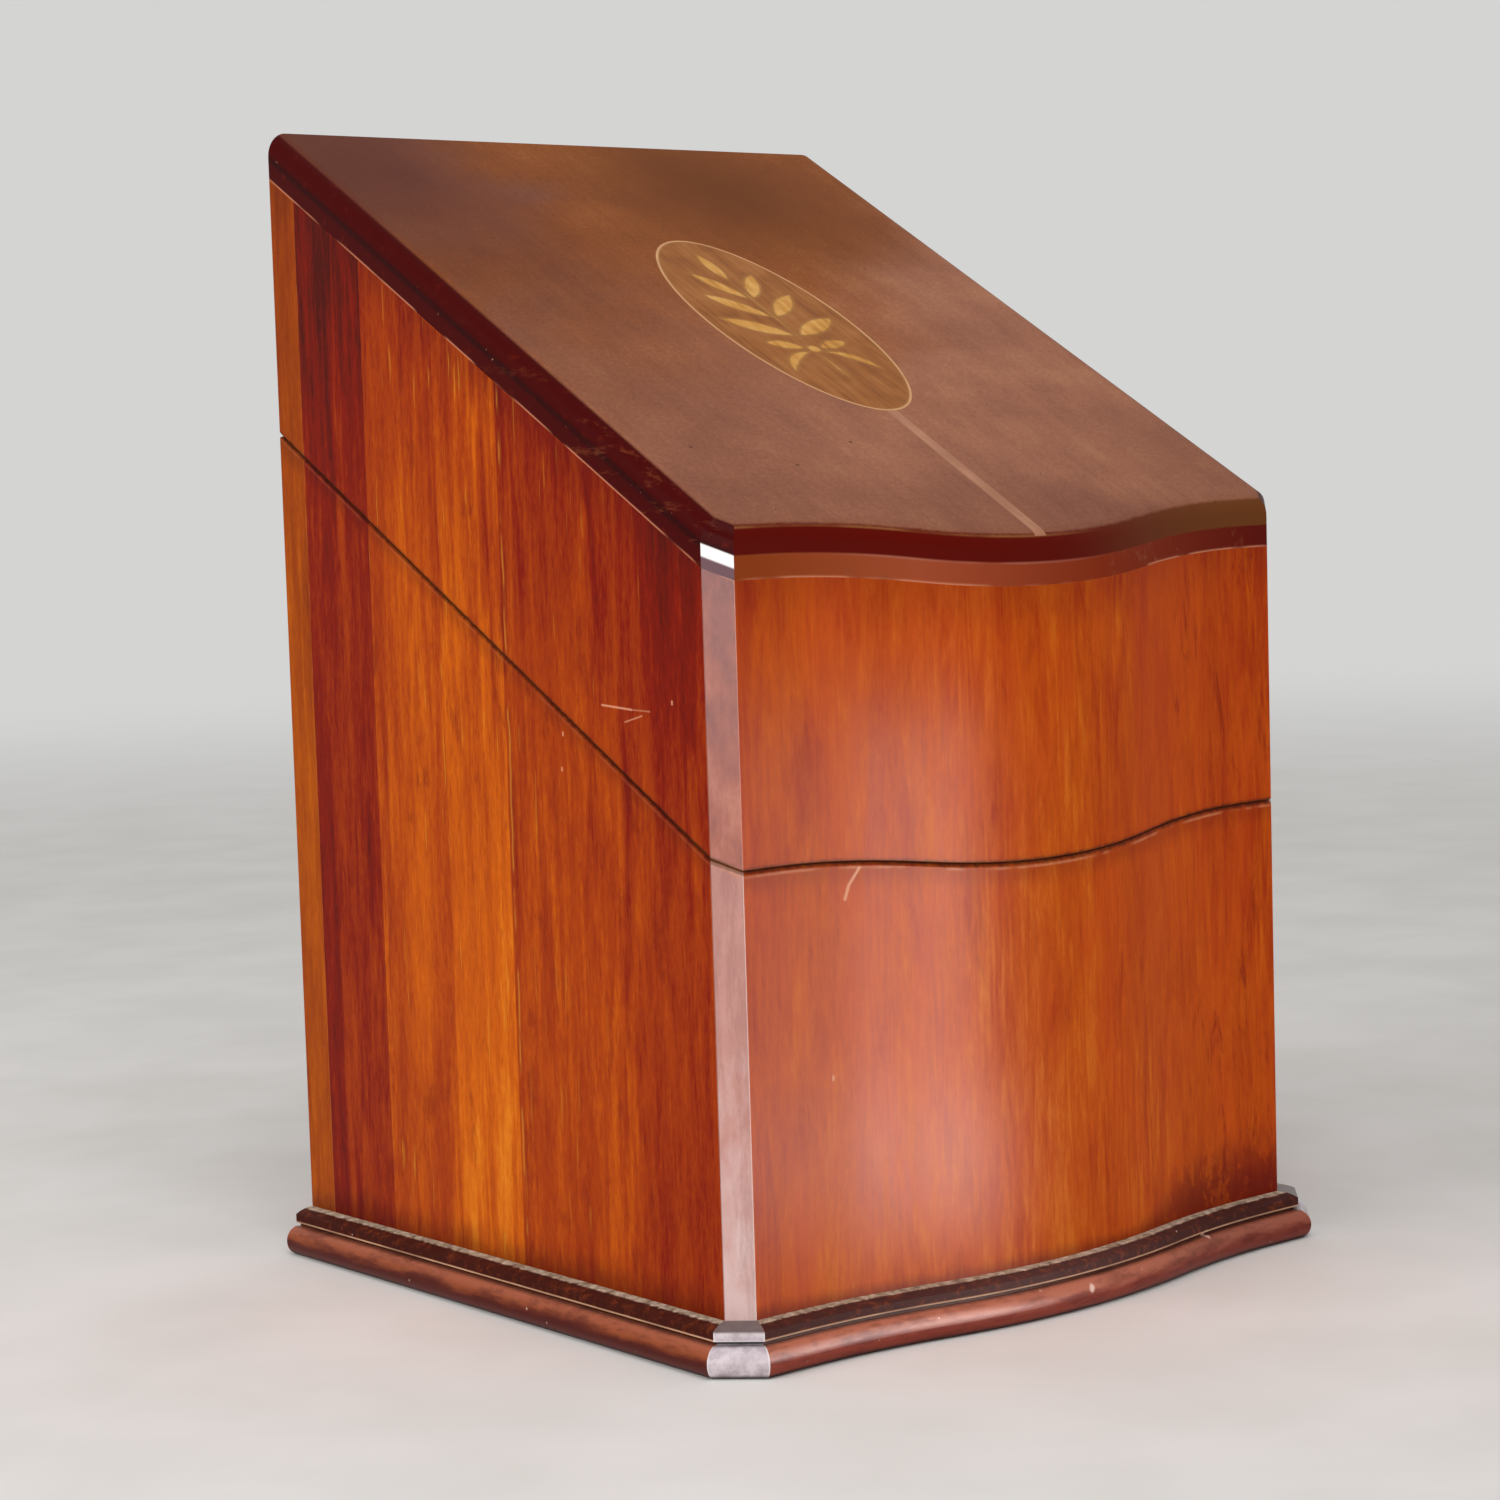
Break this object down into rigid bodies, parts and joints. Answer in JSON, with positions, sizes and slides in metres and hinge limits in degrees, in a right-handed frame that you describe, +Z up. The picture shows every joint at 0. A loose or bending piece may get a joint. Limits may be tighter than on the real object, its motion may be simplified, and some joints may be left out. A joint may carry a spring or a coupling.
{
  "type": "knife box",
  "caption": "Upright wooden knife box with a serpentine front, canted corners, a moulded plinth, a sloping hinged lid with an inlaid oval and a stepped slotted rack inside.",
  "frame": {"origin": "on the table under the middle of the box, hinge lips and plinth included", "axes": "+Z up, +Y towards the hinged back, so the serpentine front looks along -Y, and +X to the right of someone who faces the front"},
  "size_m": [0.245, 0.236, 0.3499],
  "materials": {
    "front_veneer": "French polished mahogany veneer with an upright figured grain",
    "side_veneer": "French polished mahogany veneer laid in upright strips of different tone",
    "top_veneer": "French polished mahogany veneer, mottled",
    "corner_veneer": "polished mahogany, faded on the flat of the cant",
    "plinth_wood": "moulded mahogany with worn polish",
    "back_wood": "plain mahogany board, waxed",
    "rack_wood": "stained and waxed wood",
    "base_wood": "bare dry wood",
    "oval_wood": "polished satinwood veneer, gone golden brown",
    "stringing_wood": "polished boxwood line",
    "leaf_wood": "polished holly with scorched shading",
    "brass": "old dull brass"
  },
  "bodies": {
    "carcass": {"bottom_board": "base_wood", "hinge_leaf_lower_left": "brass", "hinge_leaf_lower_right": "brass", "hinge_screws_lower": "brass", "hinge_pin_left": "brass", "hinge_pin_right": "brass", "side_board_left": "side_veneer", "side_board_right": "side_veneer", "corner_strip_left": "corner_veneer", "corner_strip_right": "corner_veneer", "front_panel": "front_veneer", "back_board": "back_wood", "plinth_left": "plinth_wood", "plinth_right": "plinth_wood", "plinth_corner_left": "plinth_wood", "plinth_corner_right": "plinth_wood", "plinth_front": "plinth_wood", "rack_cheek_left": "rack_wood", "rack_cheek_right": "rack_wood", "rack_tier_1": "rack_wood", "rack_tier_2": "rack_wood", "rack_tier_3": "rack_wood", "rack_tier_4": "rack_wood", "rack_tier_5": "rack_wood", "rack_riser_2": "rack_wood", "rack_riser_3": "rack_wood", "rack_riser_4": "rack_wood", "rack_riser_5": "rack_wood"},
    "lid": {"hinge_leaf_upper_left": "brass", "hinge_leaf_upper_right": "brass", "hinge_screws_upper": "brass", "lid_side_left": "side_veneer", "lid_side_right": "side_veneer", "lid_corner_left": "corner_veneer", "lid_corner_right": "corner_veneer", "lid_front": "front_veneer", "lid_back": "back_wood", "lid_top": "top_veneer", "oval_panel": "oval_wood", "oval_stringing": "stringing_wood", "laurel_sprig": "leaf_wood", "ribbon_bow": "leaf_wood", "centre_stringing": "stringing_wood"}
  },
  "joints": [
    {"name": "lid_hinge", "type": "hinge", "parent": "carcass", "child": "lid", "pos_m": [0, 0.11393, 0.25782], "axis": [-1, 0, 0], "range_deg": [0, 115]}
  ]
}
